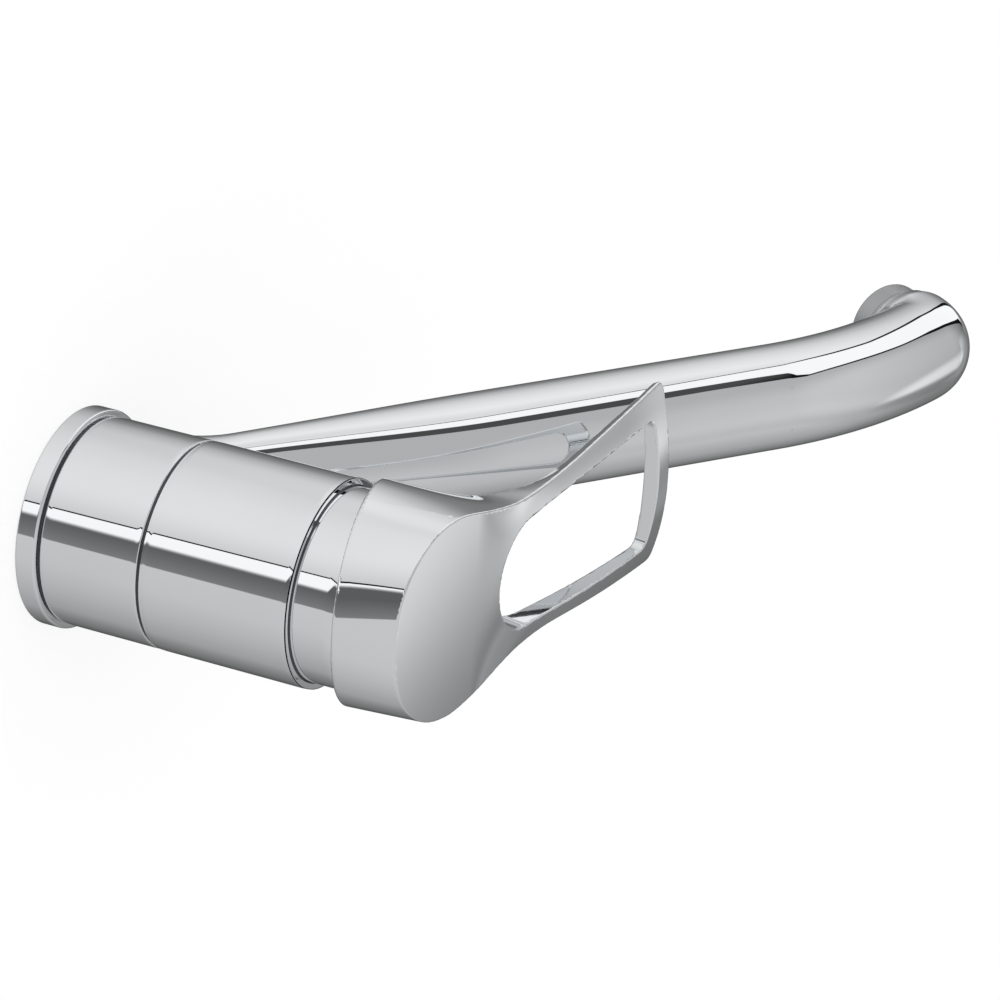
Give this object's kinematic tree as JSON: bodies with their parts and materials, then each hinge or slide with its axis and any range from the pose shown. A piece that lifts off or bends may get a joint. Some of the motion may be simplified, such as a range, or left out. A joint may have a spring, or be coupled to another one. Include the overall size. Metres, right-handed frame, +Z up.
{
  "type": "kitchen mixer tap",
  "caption": "Single-lever kitchen mixer tap with a round body, a long inclined swivel spout and an open loop lever.",
  "frame": {"origin": "centre of the underside of the base, on the body's axis, where the fixing stud goes in", "axes": "+Z up the body's axis, +X along the spout and the lever, +Y to the left when facing along the spout"},
  "size_m": [0.2502, 0.0534, 0.1515],
  "materials": {
    "chrome": "polished",
    "aerator_chrome": "satin",
    "brass": "machined",
    "steel": "machined",
    "steel_dark": "blackened",
    "white_plastic": "moulded",
    "grey_plastic": "glossy",
    "ceramic": "lapped",
    "rubber": "moulded"
  },
  "bodies": {
    "fixed_body": {"base_ring": "chrome", "base_gasket": "rubber", "main_body": "chrome", "lower_slide_ring": "white_plastic", "upper_slide_ring": "white_plastic", "spout_orings": "rubber", "swivel_stop_pin": "steel", "cartridge_base": "white_plastic", "port_seals": "rubber", "cartridge_shell": "white_plastic", "fixed_disc": "ceramic", "cartridge_nut": "brass", "collar": "chrome"},
    "swivel_spout": {"spout": "chrome", "aerator_gasket": "rubber", "aerator_insert": "white_plastic", "aerator_mesh": "steel", "aerator_housing": "aerator_chrome"},
    "turning_guide": {"stem_guide": "white_plastic", "pivot_pin": "steel"},
    "sliding_disc": {"disc_carrier": "white_plastic", "moving_disc": "ceramic"},
    "lifting_lever": {"stem": "brass", "lever": "chrome", "grub_screw": "steel_dark", "screw_plug": "grey_plastic"}
  },
  "joints": [
    {"name": "spout_swivel", "type": "hinge", "parent": "fixed_body", "child": "swivel_spout", "pos_m": [0, 0, 0.0184], "axis": [0, 0, 1], "range_deg": [-75, 75]},
    {"name": "lever_turn", "type": "hinge", "parent": "fixed_body", "child": "turning_guide", "pos_m": [0, 0, 0.078], "axis": [0, 0, 1], "range_deg": [-50, 50]},
    {"name": "disc_slide", "type": "slide", "parent": "turning_guide", "child": "sliding_disc", "axis": [1, 0, 0], "range_m": [0, 0.0067]},
    {"name": "lever_lift", "type": "hinge", "parent": "turning_guide", "child": "lifting_lever", "pos_m": [0, 0, 0.078], "axis": [0, -1, 0], "range_deg": [0, 24]}
  ],
  "couplings": [
    {"joint": "disc_slide", "follows": "lever_lift", "m_per_rad": 0.0159}
  ]
}
